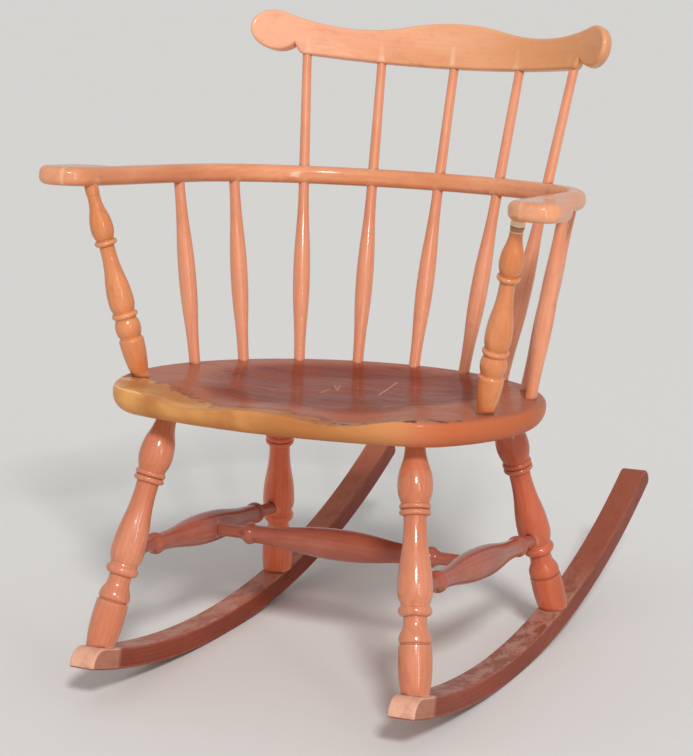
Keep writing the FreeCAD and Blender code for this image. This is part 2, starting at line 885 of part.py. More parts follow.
sweep = math.radians(mm("bow_back_sweep_degrees"))
flare = math.radians(mm("arm_flare_degrees"))
back_normal = Vector(math.sin(sweep), math.cos(sweep), 0)
back_way = Vector(math.cos(sweep), -math.sin(sweep), 0)
arm_way = Vector(math.sin(flare), -math.cos(flare), 0)
arm_normal = Vector(math.cos(flare), math.sin(flare), 0)
back_end = bow_back_centre + back_normal * bow_back_radius
post_top_plan = Vector(mm("post_top_offset"), -mm("post_top_reach"), 0)
to_post = post_top_plan - back_end
corner_run = (to_post.dot(arm_normal)) / (back_way.dot(arm_normal))
corner_point = back_end + back_way * corner_run
corner_radius = corner_run / math.tan(back_way.getAngle(arm_way) / 2)
corner_centre = back_end - back_normal * corner_radius
arm_start = corner_point + arm_way * corner_run
arm_tip = post_top_plan + arm_way * mm("arm_reach_past_post")
bow_half_width = mm("bow_width") / 2
keep("bow_back_radius", bow_back_radius)
keep("bow_corner_radius", corner_radius)


def arm_point(name, out, behind):
    """A point of the plan, by its distance out from the arm's line and behind its tip."""
    return keep_point(name, arm_tip + arm_normal * out - arm_way * behind)


def bow_arc(radius_name, out):
    """The radius of one of the bow's plan arcs, moved out from its middle line."""
    return size(radius_name) + size("bow_width") * (0.5 * out)


hand_hold_out = bow_half_width + mm("hand_hold_width")
tail_radius = keep(
    "hand_hold_tail_radius",
    (mm("hand_hold_width") ** 2 + mm("hand_hold_tail") ** 2) / (2 * mm("hand_hold_width")),
)
tip_round = size("hand_hold_tip_round")
inner_round = size("bow_tip_round")
side_start = mm("hand_hold_length") - mm("hand_hold_tail")
bow_half = [
    (
        *keep_point("bow_outer_back", back_end + back_normal * bow_half_width),
        bend(bow_arc("bow_corner_radius", 1), -1),
    ),
    (*keep_point("bow_outer_corner", arm_start + arm_normal * bow_half_width), STRAIGHT),
    (
        *arm_point("hand_hold_start", bow_half_width, mm("hand_hold_length")),
        bend(tail_radius, -1),
    ),
    (*arm_point("hand_hold_side", hand_hold_out, side_start), STRAIGHT),
    (*arm_point("hand_hold_round", hand_hold_out, tip_round.value), bend(tip_round, -1)),
    (*arm_point("hand_hold_tip", hand_hold_out - tip_round.value, 0), STRAIGHT),
    (*arm_point("bow_tip", inner_round.value - bow_half_width, 0), bend(inner_round, -1)),
    (*arm_point("bow_inner_round", -bow_half_width, inner_round.value), STRAIGHT),
    (
        *keep_point("bow_inner_corner", arm_start - arm_normal * bow_half_width),
        bend(bow_arc("bow_corner_radius", -1), 1),
    ),
    (
        *keep_point("bow_inner_back", back_end - back_normal * bow_half_width),
        bend(bow_arc("bow_back_radius", -1), 1),
    ),
]
bow_other_half = mirrored(bow_half)
bow_other_half[-1] = (*bow_other_half[-1][:2], bend(bow_arc("bow_back_radius", 1), -1))
bow_outline = bow_half + bow_other_half


def bow_blank():
    """The bow with both hand holds, glued up and shaped, before the glue lines part them."""
    body, pad = padded("bow_blank", "XY_Plane", bow_outline, size("bow_thickness"))
    half_thickness = mm("bow_thickness") / 2
    top = flat_at(half_thickness)
    bottom = flat_at(-half_thickness)
    rounded(body, pad, size("bow_edge_round"), lambda edge: top(edge) or bottom(edge))
    body.Placement = bow_frame
    return body


def glue_block(name, side):
    """The space outside an arm's glue line, where its hand hold is."""
    block = document.addObject("Part::Box", name)
    margin = size("overrun")
    length = size("hand_hold_length") + margin * 2
    width = size("hand_hold_width") + margin
    block.setExpression("Length", width.text)
    block.setExpression("Width", length.text)
    block.setExpression("Height", (size("bow_thickness") + margin * 2).text)
    out = bow_half_width if side > 0 else -bow_half_width - width.value
    origin = Vector(side * arm_tip.x, arm_tip.y, 0)
    across = Vector(arm_normal.x, side * arm_normal.y, 0)
    behind = Vector(-side * arm_way.x, -arm_way.y, 0)
    corner = origin + across * out - behind * margin.value
    corner.z = -mm("bow_thickness") / 2 - margin.value
    turn = FreeCAD.Rotation(Vector(0, 0, 1), side * mm("arm_flare_degrees"))
    block.Placement = bow_frame * FreeCAD.Placement(corner, turn)
    return block


def bow_across(back):
    """How far out the bow's middle line is at this distance back in its plan."""
    if back < arm_start.y:
        share = (back - post_top_plan.y) / (arm_start.y - post_top_plan.y)
        return post_top_plan.x + (arm_start.x - post_top_plan.x) * share
    if back < back_end.y:
        return corner_centre.x + math.sqrt(corner_radius**2 - (back - corner_centre.y) ** 2)
    return math.sqrt(bow_back_radius**2 - (back - bow_back_centre.y) ** 2)


# Spindles and posts.
bow_under = -mm("bow_thickness") / 2
bow_bores = []
crest_bores = []
spindle_bore_radius = size("spindle_bow_radius") + size("glue_gap")


def spindle_start(low, high):
    return along(step_from(low, high, -mm("spindle_seat_tenon")), high)


def spindle_foot():
    """The seat end of every spindle's profile, up to its swell."""
    return [
        (size("spindle_seat_radius"), ZERO, STRAIGHT),
        (
            size("spindle_seat_radius"),
            size("spindle_seat_tenon") + size("spindle_collar"),
            curve(0.50),
        ),
    ]


def bore_seat(name, low, high, radius, tenon):
    inside = step_from(low, high, -mm(tenon))
    depth = size(tenon) + size("blind_gap")
    seat_bores.append(drill(f"{name}_seat_bore", low, inside, radius, depth))


def long_spindle(name, low, high):
    """From the seat, through the bow, into the crest rail."""
    tenon = size("spindle_seat_tenon")
    under = keep(f"{name}_to_bow", (meet(low, high, bow_frame, bow_under) - low).Length)
    over = keep(f"{name}_past_bow", (meet(low, high, bow_frame, -bow_under) - low).Length)
    rise = keep(f"{name}_to_crest", (high - low).Length)
    collar = size("spindle_collar")
    profile = spindle_foot() + [
        (size("spindle_swell_radius"), tenon + under * SWELL_PLACE_SHARE, curve(0.50)),
        (size("spindle_bow_radius"), tenon + under - collar, STRAIGHT),
        (size("spindle_bow_radius"), tenon + over, STRAIGHT),
        (size("spindle_crest_radius"), tenon + rise - collar, STRAIGHT),
        (
            size("spindle_crest_radius"),
            tenon + rise + size("spindle_crest_tenon"),
            STRAIGHT,
        ),
    ]
    bow_bores.append(
        drill(
            f"{name}_bow_bore",
            meet(low, high, bow_frame, bow_under),
            high,
            spindle_bore_radius,
            over - under + size("overrun"),
        )
    )
    crest_bores.append(
        drill(
            f"{name}_crest_bore",
            high,
            step_from(high, low, -mm("spindle_crest_tenon")),
            size("spindle_crest_radius") + size("glue_gap"),
            size("spindle_crest_tenon") + size("blind_gap"),
        )
    )
    return turned(f"{name}_turning", spindle_start(low, high), profile)


def short_spindle(name, low, high):
    """From the seat into the underside of the bow."""
    tenon = size("spindle_seat_tenon")
    mouth = meet(low, high, bow_frame, bow_under)
    under = keep(f"{name}_to_bow", (mouth - low).Length)
    profile = spindle_foot() + [
        (size("spindle_swell_radius"), tenon + under * SWELL_PLACE_SHARE, curve(0.50)),
        (size("spindle_bow_radius"), tenon + under - size("spindle_collar"), STRAIGHT),
        (size("spindle_bow_radius"), tenon + under + size("spindle_bow_tenon"), STRAIGHT),
    ]
    bow_bores.append(
        drill(
            f"{name}_bow_bore",
            mouth,
            high,
            spindle_bore_radius,
            size("spindle_bow_tenon") + size("blind_gap"),
        )
    )
    return turned(name, spindle_start(low, high), profile)


def arm_post(name, side):
    """From the seat into the underside of an arm."""
    low = place(seat_frame, side * mm("post_base_offset"), -mm("post_base_reach"))
    high = place(bow_frame, side * mm("post_top_offset"), -mm("post_top_reach"))
    mouth = meet(low, high, bow_frame, bow_under)
    tenon = size("post_base_tenon")
    length = keep(f"{name}_length", (mouth - low).Length)
    top = tenon + length
    profile = [
        (size("post_base_radius"), ZERO, STRAIGHT),
        (size("post_base_radius"), tenon + size("post_collar"), LEVEL_END),
    ]
    profile += stations(POST_SHARES, tenon, length, size("post_swell_radius"))
    profile += [
        (size("post_top_radius"), top - size("post_collar") * 2, STRAIGHT),
        (size("post_top_radius"), top + size("post_top_tenon"), STRAIGHT),
    ]
    start = step_from(low, high, -mm("post_base_tenon"))
    bore_seat(name, low, high, size("post_base_radius") + size("glue_gap"), "post_base_tenon")
    bow_bores.append(
        drill(
            f"{name}_bow_bore",
            mouth,
            high,
            size("post_top_radius") + size("glue_gap"),
            size("post_top_tenon") + size("blind_gap"),
        )
    )
    return turned(name, along(start, high), profile)


seat_spindle_bore_radius = size("spindle_seat_radius") + size("glue_gap")

# Pegs: from the back of the rail into the two outer long spindles.
peg_length = size("crest_thickness") * 0.5 + size("peg_depth") - size("spindle_crest_radius")
peg_bore_radius = size("peg_radius") + size("glue_gap")


def peg_line(step):
    """A peg's outer end on the rail's back face, and a point further in along it."""
    low, high = long_lines[step]
    seat_to_rail = step_from(high, low, -mm("peg_height"))
    local = crest_frame.inverse().multVec(seat_to_rail)
    outward = Vector(local.x, local.y + mm("crest_bend_radius"), 0)
    outward.normalize()
    axis = Vector(0, -mm("crest_bend_radius"), local.z)
    face = axis + outward * (mm("crest_bend_radius") + mm("crest_thickness") / 2)
    return crest_frame.multVec(face), crest_frame.multVec(axis)


pegs = []
peg_bores = {}
for step in (long_steps[0], long_steps[-1]):
    side_name = "left" if step < 0 else "right"
    outer_end, inward = peg_line(step)
    pegs.append(
        cylinder(f"{side_name}_peg", along(outer_end, inward), size("peg_radius"), peg_length)
    )
    tool = drill(
        f"{side_name}_peg_bore",
        outer_end,
        inward,
        peg_bore_radius,
        peg_length + size("glue_gap"),
    )
    peg_bores[step] = tool
    crest_bores.append(tool)

for number, step in enumerate(long_steps, 1):
    name = f"long_spindle_{number}"
    low, high = long_lines[step]
    spindle = long_spindle(name, low, high)
    bore_seat(name, low, high, seat_spindle_bore_radius, "spindle_seat_tenon")
    if step in peg_bores:
        spindle = cut(name, spindle, [peg_bores[step]])
    name_piece(spindle, name)

SHORT_SPINDLES = {"rear": (3, "rear_short_spindle_back"), "front": (4, "front_short_spindle_back")}
for side_name, side in SIDES.items():
    for end, (step, back_name) in SHORT_SPINDLES.items():
        name = f"{side_name}_{end}_short_spindle"
        low = seat_ring_point(side * step)
        back = mm(back_name)
        high = place(bow_frame, side * bow_across(back), back)
        name_piece(short_spindle(name, low, high), name)
        bore_seat(name, low, high, seat_spindle_bore_radius, "spindle_seat_tenon")
    post_name = f"{side_name}_arm_post"
    name_piece(arm_post(post_name, side), post_name)

shaped_bow = bow_blank()
blocks = {name: glue_block(f"{name}_glue_block", side) for name, side in SIDES.items()}
for side_name, block in blocks.items():
    hold = joined("Part::Common", f"{side_name}_hand_hold", shaped_bow, block)
    name_piece(hold, f"{side_name}_hand_hold")
name_piece(cut("arm_bow", cut("bow_strip", shaped_bow, list(blocks.values())), bow_bores), "arm_bow")
name_piece(cut("crest_rail", crest_blank(), crest_bores), "crest_rail")
peg_pair = document.addObject("Part::Compound", "crest_pegs")
peg_pair.Links = pegs
name_piece(peg_pair, "crest_pegs")


# Seat: a sawn plank hollowed by a smooth surface, then rounded at its edges and bored.
def seat_corner(centre_gap, back_reach, front_reach):
    """The centre of the corner arc, between the back circle's and the front circle's centres."""
    along_gap = (centre_gap**2 + back_reach**2 - front_reach**2) / (2 * centre_gap)
    return Vector(math.sqrt(back_reach**2 - along_gap**2), along_gap, 0)


seat_back_middle = Vector(0, -mm("seat_back_centre"), 0)
seat_front_middle = Vector(0, mm("seat_front_radius") - mm("seat_front_reach"), 0)
seat_corner_centre = seat_back_middle + seat_corner(
    seat_front_middle.y - seat_back_middle.y,
    mm("seat_back_radius") - mm("seat_corner_radius"),
    mm("seat_front_radius") - mm("seat_corner_radius"),
)
front_end = step_from(seat_front_middle, seat_corner_centre, mm("seat_front_radius"))
back_end_point = step_from(seat_back_middle, seat_corner_centre, mm("seat_back_radius"))
seat_half = [
    (*keep_point("seat_front_end", front_end), bend(size("seat_corner_radius"), 1)),
    (*keep_point("seat_back_end", back_end_point), bend(size("seat_back_radius"), 1)),
]
seat_back_edge = (ZERO, size("seat_back_reach"), bend(size("seat_back_radius"), 1))
seat_other_half = mirrored(seat_half)
seat_other_half[-1] = (*seat_other_half[-1][:2], bend(size("seat_front_radius"), 1))
seat_outline = seat_half + [seat_back_edge] + seat_other_half


def seat_plank(name):
    """The plank sawn to its outline, and its pad."""
    body, pad = padded(
        name, "XY_Plane", seat_outline, size("seat_thickness"), "One side", True
    )
    body.Placement = seat_frame
    return body, pad


def rounded_plank():
    body, pad = seat_plank("rounded_plank")
    top = rounded(body, pad, size("seat_top_round"), flat_at(0))
    rounded(body, top, size("seat_under_round"), flat_at(-mm("seat_thickness")))
    return body


def ease(share):
    """A smooth step from 0 to 1."""
    share = min(max(share, 0), 1)
    return share * share * (3 - 2 * share)


def saddle_lift(across, back):
    """How far the hollowed top stands over the plank's top; below zero it is hollow."""
    ring = math.hypot(
        across / mm("basin_half_width"), (back - mm("basin_back")) / mm("basin_half_length")
    )
    bowl = 1 / (1 + ring**6)
    forward = ease((-back - mm("thigh_start")) / mm("thigh_run"))
    thighs = 0
    for side in SIDES.values():
        thighs += math.exp(-(((across - side * mm("thigh_offset")) / mm("thigh_width")) ** 2))
    front = 1 / (1 + (across / mm("front_half_width")) ** 6)
    hollow = (mm("basin_depth") + mm("rim_lift")) * bowl
    hollow += mm("front_depth") * front * forward
    hollow += (mm("thigh_depth") + mm("rim_lift")) * thighs * forward
    return mm("rim_lift") - hollow


def saddle_waste():
    """Everything over the hollowed top, as one solid under a smooth surface."""
    width = 2 * (mm("seat_back_radius") + mm("overrun"))
    length = mm("seat_front_reach") + mm("seat_back_reach") + 2 * mm("overrun")
    middle = (mm("seat_back_reach") - mm("seat_front_reach")) / 2
    grid = []
    for across_share in SADDLE_GRID_SHARES:
        across = across_share * width
        backs = [middle + back_share * length for back_share in SADDLE_GRID_SHARES]
        grid.append([Vector(across, back, saddle_lift(across, back)) for back in backs])
    surface = Part.BSplineSurface()
    surface.interpolate(grid)
    waste = document.addObject("Part::Feature", "saddle_waste")
    waste.Shape = surface.toShape().extrude(Vector(0, 0, mm("seat_thickness")))
    waste.Placement = seat_frame
    return waste


sawn_plank, _ = seat_plank("sawn_plank")
hollowed = cut("hollowed_plank", sawn_plank, [saddle_waste()])
shaped_seat = joined("Part::Common", "shaped_seat", hollowed, rounded_plank())
name_piece(cut("seat", shaped_seat, seat_bores), "seat")

document.recompute()
for item in document.Objects:
    if "Invalid" in item.State or "Error" in item.State:
        raise RuntimeError(f"{item.Label} did not build: {item.State}")
for piece in pieces:
    if piece.Shape.isNull() or not piece.Shape.isValid():
        raise RuntimeError(f"{piece.Label} has no sound shape")
    if not piece.Shape.Solids:
        raise RuntimeError(f"{piece.Label} has no solid")

os.makedirs("parts", exist_ok=True)
for piece in pieces:
    piece.Shape.exportStep(f"parts/{piece.Label}.step")
print(len(pieces), "pieces written")
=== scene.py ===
import math

import bpy
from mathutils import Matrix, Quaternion, Vector


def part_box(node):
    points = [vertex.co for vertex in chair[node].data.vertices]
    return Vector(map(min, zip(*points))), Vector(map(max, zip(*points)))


# A comb-back rocking chair of varnished maple, in metres.
# -Y is the way a sitter faces, +Z is up, and left and right are as seen from the front.

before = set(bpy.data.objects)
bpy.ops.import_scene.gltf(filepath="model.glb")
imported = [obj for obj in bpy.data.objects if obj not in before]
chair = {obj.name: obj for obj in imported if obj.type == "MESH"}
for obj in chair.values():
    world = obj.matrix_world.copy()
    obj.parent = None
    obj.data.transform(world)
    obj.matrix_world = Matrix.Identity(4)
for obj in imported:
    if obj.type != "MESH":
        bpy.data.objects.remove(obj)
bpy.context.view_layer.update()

SIDES = {"left": -1, "right": 1}

# Where the wood runs in each bent or flat piece, measured on the chair.
ROCKER_CENTRE_HEIGHT = 1.130
ROCKER_MIDDLE = 0.216
ROCKER_TOE = math.radians(1.38)
BOW_SLOPE = math.radians(7.33)
BOW_MIDDLE = Vector((0, 0.0605, 0.6228))
BOW_REACH = 0.238
BOW_FLARE = 0.105
CREST_LEAN = math.radians(17.08)
CREST_FOOT = Vector((0, 0.3221, 0.7443))
CREST_BEND = 0.370
SEAT_SLOPE = math.radians(5.88)
SEAT_MIDDLE = Vector((0, -0.0405, 0.3777))
SEAT_FRONT_CENTRE = 0.354
SEAT_FRONT_BEND = 0.600
BASIN_BACK = 0.025
BASIN_HALF_WIDTH = 0.162
BASIN_HALF_LENGTH = 0.163

# Keeps the angle round the bow known where both of its sides would be nothing.
HAIR = 0.0001

# The varnish, and how strongly each kind of wood shines under it.
VARNISH_ROUGHNESS = 0.1
WOOD_SHINE = 0.25
TURNED_SHINE = 0.2
CREST_SHINE = 0.15
DULL_SHINE = 0.05
SEAT_SHINE = 0.02

# How often each pattern in the wood changes in a metre: across, through and along the grain.
CLOUDS = (16, 16, 6)
MOTTLE = (70, 70, 40)
STREAKS = (420, 420, 9)
FIBRES = (1500, 1500, 40)
DENTS = (60, 60, 25)
RUBS = (35, 35, 15)
WANDER = (9, 9, 1.6)
SCUFFS = (60, 60, 30)
RING_SCUFFS = (90, 90, 500)
WORN_VARNISH = (70, 70, 45)
BROAD_PATCHES = (11, 11, 9)
FLECKS = (160, 160, 60)

# Growth rings, how far rubbed wear and a painted edge highlight reach in from edges, and how far grime and
# painted shade reach into grooves and joints.
RING_SPACING = 0.006
SEAT_RING_SPACING = 0.009
RING_WANDER = 0.03
EDGE_REACH = 0.005
GROOVE_REACH = 0.007
FIBRE_DEPTH = 0.00008
DENT_DEPTH = 0.001
GROOVE_SHADE_AND_GRIME_SHARE = 0.4
RUBBED_ROUGHNESS = 0.18


def tint(red, green, blue):
    """A colour given as it looks, from 0 to 255, in the linear values a shader takes."""
    shares = [value / 255 for value in (red, green, blue)]
    return [*((share / 12.92 if share < 0.04 else ((share + 0.055) / 1.055) ** 2.4) for share in shares), 1]


class Finish:
    """A material, built up node by node from its wood to its varnish."""

    def __init__(self, name):
        self.material = bpy.data.materials.new(name)
        self.material.use_nodes = True
        self.nodes = self.material.node_tree.nodes
        self.links = self.material.node_tree.links
        self.shader = self.nodes["Principled BSDF"]

    def join(self, source, socket):
        if isinstance(source, bpy.types.NodeSocket):
            self.links.new(source, socket)
        else:
            socket.default_value = source

    def sum(self, kind, *values):
        """One step of arithmetic on numbers."""
        node = self.nodes.new("ShaderNodeMath")
        node.operation = kind
        for value, socket in zip(values, node.inputs):
            self.join(value, socket)
        return node.outputs["Value"]

    def length(self, first, second):
        squares = [self.sum("MULTIPLY", value, value) for value in (first, second)]
        return self.sum("SQRT", self.sum("ADD", *squares))

    def parts(self, vector):
        node = self.nodes.new("ShaderNodeSeparateXYZ")
        self.join(vector, node.inputs["Vector"])
        return [node.outputs[axis] for axis in "XYZ"]

    def point(self, across, through, along):
        node = self.nodes.new("ShaderNodeCombineXYZ")
        for value, axis in zip((across, through, along), "XYZ"):
            self.join(value, node.inputs[axis])
        return node.outputs["Vector"]

    def stretched(self, vector, rates):
        node = self.nodes.new("ShaderNodeVectorMath")
        node.operation = "MULTIPLY"
        self.join(vector, node.inputs[0])
        node.inputs[1].default_value = rates
        return node.outputs["Vector"]

    def seen_from(self, origin, turn):
        """The place on the piece, measured from an origin and along turned axes."""
        place = self.nodes.new("ShaderNodeTexCoord")
        node = self.nodes.new("ShaderNodeMapping")
        node.vector_type = "TEXTURE"
        self.links.new(place.outputs["Object"], node.inputs["Vector"])
        node.inputs["Location"].default_value = origin
        node.inputs["Rotation"].default_value = turn
        return node.outputs["Vector"]

    def noise(self, vector, scale, detail=3, rough=0.55):
        node = self.nodes.new("ShaderNodeTexNoise")
        self.join(vector, node.inputs["Vector"])
        node.inputs["Scale"].default_value = scale
        node.inputs["Detail"].default_value = detail
        node.inputs["Roughness"].default_value = rough
        return node.outputs["Fac"]

    def between(self, value, low, high, first=0, last=1):
        """Goes smoothly from first to last as the value goes from low to high."""
        node = self.nodes.new("ShaderNodeMapRange")
        node.interpolation_type = "SMOOTHSTEP"
        self.join(value, node.inputs["Value"])
        for amount, name in ((low, "From Min"), (high, "From Max"), (first, "To Min"), (last, "To Max")):
            node.inputs[name].default_value = amount
        return node.outputs["Result"]

    def blend(self, share, first, second):
        node = self.nodes.new("ShaderNodeMix")
        node.data_type = "RGBA"
        self.join(share, node.inputs["Factor"])
        self.join(first, node.inputs[6])
        self.join(second, node.inputs[7])
        return node.outputs[2]

    def stain(self, share, tone):
        """Colours the wood so far toward a tone."""
        self.colour = self.blend(share, self.colour, tint(*tone))

    def shut_in(self, reach, inside=False):
        """1 where the surface is open, less in grooves and joints, or less near edges from inside."""
        node = self.nodes.new("ShaderNodeAmbientOcclusion")
        node.samples = 8
        node.inside = inside
        node.only_local = inside
        node.inputs["Distance"].default_value = reach
        return node.outputs["AO"]

    def facing_up(self):
        """How far the surface faces up, from -1 to 1."""
        return self.parts(self.nodes.new("ShaderNodeNewGeometry").outputs["Normal"])[2]

    def raised(self, height, depth, under=None):
        node = self.nodes.new("ShaderNodeBump")
        node.inputs["Distance"].default_value = depth
        self.join(height, node.inputs["Height"])
        if under:
            self.links.new(under, node.inputs["Normal"])
        return node.outputs["Normal"]

    def settle(self, coat, bare=0.0, shine=WOOD_SHINE):
        """Puts the varnish on, less of it where the wood is bare."""
        self.join(self.colour, self.shader.inputs["Base Color"])
        self.join(self.normal, self.shader.inputs["Normal"])
        self.join(self.rough, self.shader.inputs["Roughness"])
        covered = self.sum("SUBTRACT", 1.0, bare)
        self.join(self.sum("MULTIPLY", covered, coat), self.shader.inputs["Coat Weight"])
        self.shader.inputs["Coat Roughness"].default_value = VARNISH_ROUGHNESS
        self.shader.inputs["Specular IOR Level"].default_value = shine


# The places along each kind of piece, with Z along the grain.
def straight_grain(finish, start, end):
    turn = (end - start).to_track_quat("Z", "Y").to_euler()
    return finish.seen_from(start, turn)


def rocker_grain(finish, side):
    origin = (side * ROCKER_MIDDLE, 0, ROCKER_CENTRE_HEIGHT)
    across, back, up = finish.parts(finish.seen_from(origin, (0, 0, side * ROCKER_TOE)))
    depth = finish.sum("SUBTRACT", ROCKER_CENTRE_HEIGHT, finish.length(back, up))
    angle = finish.sum("ARCTAN2", back, finish.sum("MULTIPLY", up, -1.0))
    return finish.point(across, depth, finish.sum("MULTIPLY", angle, ROCKER_CENTRE_HEIGHT))


def bow_grain(finish):
    across, back, up = finish.parts(finish.seen_from(BOW_MIDDLE, (-BOW_SLOPE, 0, 0)))
    behind = finish.sum("MAXIMUM", back, 0.0)
    ahead = finish.sum("MAXIMUM", finish.sum("MULTIPLY", back, -1.0), 0.0)
    out = finish.sum("ABSOLUTE", across)
    straight = finish.sum("SUBTRACT", out, finish.sum("MULTIPLY", ahead, BOW_FLARE))
    angle = finish.sum("ARCTAN2", out, finish.sum("ADD", behind, HAIR))
    along = finish.sum("ADD", finish.sum("MULTIPLY", angle, BOW_REACH), ahead)
    signed = finish.sum("MULTIPLY", along, finish.sum("SIGN", across))
    return finish.point(finish.length(straight, behind), up, signed)


def crest_grain(finish):
    across, back, up = finish.parts(finish.seen_from(CREST_FOOT, (-CREST_LEAN, 0, 0)))
    behind = finish.sum("ADD", back, CREST_BEND)
    angle = finish.sum("ARCTAN2", across, behind)
    return finish.point(up, finish.length(across, behind), finish.sum("MULTIPLY", angle, CREST_BEND))


def seat_grain(finish):
    """The seat's grain runs from side to side, so its places are how far back, up and right."""
    across, back, up = finish.parts(finish.seen_from(SEAT_MIDDLE, (-SEAT_SLOPE, 0, 0)))
    return finish.point(back, up, across)


def growth_rings(finish, grain, heart, spacing):
    """The rings as the cut surface shows them: 0 to 1, with 1 near the end of each year."""
    across, through = finish.parts(grain)[:2]
    wander = finish.noise(finish.stretched(grain, WANDER), 1, 2, 0.5)
    reach = finish.length(finish.sum("ADD", across, heart[0]), finish.sum("ADD", through, heart[1]))
    drift = finish.sum("ADD", reach, finish.sum("MULTIPLY", wander, RING_WANDER))
    year = finish.sum("FRACT", finish.sum("DIVIDE", drift, spacing))
    return finish.sum("MULTIPLY", finish.between(year, 0.25, 0.93), finish.between(year, 1.0, 0.93))


def maple(
    name,
    grain_of,
    tones,
    heart,
    spacing=RING_SPACING,
    ring_share=0.16,
    streak_share=0.2,
    groove_shade_and_grime_share=0.75,
    edge_wear_and_highlight_share=0.5,
    roughness=0.3,
):
    """Stained maple with grooves darkened by grime and painted shade, and edges lightened by rubbing and a
    painted highlight, before its own marks and its varnish.

    The heart is how far the middle of the tree lies from the piece, across and through its grain.
    """
    light, middle, dark, rubbed_and_highlit = tones
    finish = Finish(name)
    grain = grain_of(finish)
    finish.grain = grain
    clouds = finish.noise(finish.stretched(grain, CLOUDS), 1, 3, 0.5)
    mottle = finish.noise(finish.stretched(grain, MOTTLE), 1, 3, 0.6)
    streaks = finish.noise(finish.stretched(grain, STREAKS), 1, 4, 0.6)
    fibres = finish.noise(finish.stretched(grain, FIBRES), 1, 2, 0.5)
    finish.colour = finish.blend(finish.between(clouds, 0.32, 0.68), tint(*middle), tint(*light))
    rings = growth_rings(finish, grain, heart, spacing)
    finish.stain(finish.sum("MULTIPLY", rings, ring_share), dark)
    finish.stain(finish.between(streaks, 0.45, 0.75, 0, streak_share), dark)
    finish.stain(finish.between(mottle, 0.5, 0.8, 0, 0.25), dark)
    near_edge = finish.between(finish.shut_in(EDGE_REACH, inside=True), 0.93, 0.6)
    uneven = finish.between(mottle, 0.35, 0.65, 0.35, 1)
    # Edges go toward the rubbed tone: rubbed wear together with a painted highlight along each edge.
    finish.stain(finish.sum("MULTIPLY", finish.sum("MULTIPLY", near_edge, uneven), edge_wear_and_highlight_share), rubbed_and_highlit)
    # Grooves and joints found by ambient occlusion go darker: grime together with painted shade.
    groove_shade_and_grime = [value * GROOVE_SHADE_AND_GRIME_SHARE for value in dark]
    finish.stain(finish.between(finish.shut_in(GROOVE_REACH), 0.86, 0.3, 0, groove_shade_and_grime_share), groove_shade_and_grime)
    dents = finish.noise(finish.stretched(grain, DENTS), 1, 2, 0.5)
    height = finish.sum("ADD", finish.sum("MULTIPLY", fibres, 0.4), finish.sum("MULTIPLY", streaks, 0.6))
    finish.normal = finish.raised(height, FIBRE_DEPTH, finish.raised(dents, DENT_DEPTH))
    rub = finish.noise(finish.stretched(grain, RUBS), 1, 4, 0.65)
    finish.rough = finish.between(rub, 0.3, 0.75, roughness, roughness + RUBBED_ROUGHNESS)
    return finish


def coat_of(node, finish):
    """Gives the finish to a piece."""
    for slot in chair[node].material_slots:
        slot.material = finish.material


def longest_side(low, high):
    sizes = [high[axis] - low[axis] for axis in range(3)]
    return sizes.index(max(sizes))


def ends_of(node):
    """The middles of a turned piece's two ends."""
    points = [vertex.co for vertex in chair[node].data.vertices]
    low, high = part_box(node)
    middle = (low + high) / 2
    way = Vector((0, 0, 0))
    for point in points:
        gap = point - middle
        way += gap * math.copysign(gap.length, gap[longest_side(low, high)])
    way.normalize()
    marks = [(point - middle).dot(way) for point in points]
    return middle + way * min(marks), middle + way * max(marks)


# Each set of tones: light, middle, dark, and where an edge is rubbed and given a painted highlight.
SPINDLE_MAPLE = ((236, 162, 126), (222, 142, 104), (168, 92, 64), (246, 196, 162))
POST_MAPLE = ((230, 150, 100), (212, 128, 76), (156, 80, 46), (244, 194, 146))
LEG_MAPLE = ((220, 142, 108), (202, 118, 82), (144, 70, 46), (240, 186, 152))
# The rear legs carry painted light and shade on the leg maple: the right one is darker as painted shade,
# and the left one brighter and redder as painted light under the seat.
SHADED_REAR_RIGHT_LEG_MAPLE = ((206, 106, 72), (188, 90, 56), (130, 58, 38), (222, 154, 124))
LIT_REAR_LEFT_LEG_MAPLE = ((244, 132, 90), (228, 112, 70), (164, 74, 48), (246, 176, 142))
STRETCHER_MAPLE = ((182, 106, 86), (162, 86, 66), (104, 50, 38), (206, 148, 126))
ROCKER_MAPLE = ((150, 72, 52), (132, 60, 42), (84, 36, 26), (204, 142, 118))
ARM_MAPLE = ((236, 160, 116), (220, 138, 92), (164, 88, 52), (246, 200, 160))
CREST_MAPLE = ((244, 178, 142), (232, 160, 120), (180, 106, 72), (252, 210, 176))
SEAT_MAPLE = ((156, 72, 46), (134, 58, 36), (92, 38, 26), (206, 132, 96))

# The turned pieces: legs, posts, stretchers and spindles.
turned = {
    "front_left_leg": LEG_MAPLE,
    "front_right_leg": LEG_MAPLE,
    "rear_left_leg": LIT_REAR_LEFT_LEG_MAPLE,
    "rear_right_leg": SHADED_REAR_RIGHT_LEG_MAPLE,
    "left_arm_post": POST_MAPLE,
    "right_arm_post": POST_MAPLE,
    "left_side_stretcher": STRETCHER_MAPLE,
    "right_side_stretcher": STRETCHER_MAPLE,
    "centre_stretcher": STRETCHER_MAPLE,
}
for number in range(1, 6):
    turned[f"long_spindle_{number}"] = SPINDLE_MAPLE
for side in SIDES:
    turned[f"{side}_front_short_spindle"] = SPINDLE_MAPLE
    turned[f"{side}_rear_short_spindle"] = SPINDLE_MAPLE

# Each turning comes from its own place in a tree, so its rings differ from its neighbour's.
HEART_GAP = (0.025, 0.020)
HEART_STEP = (0.004, 0.003)
HEART_PLACES = (5, 7)

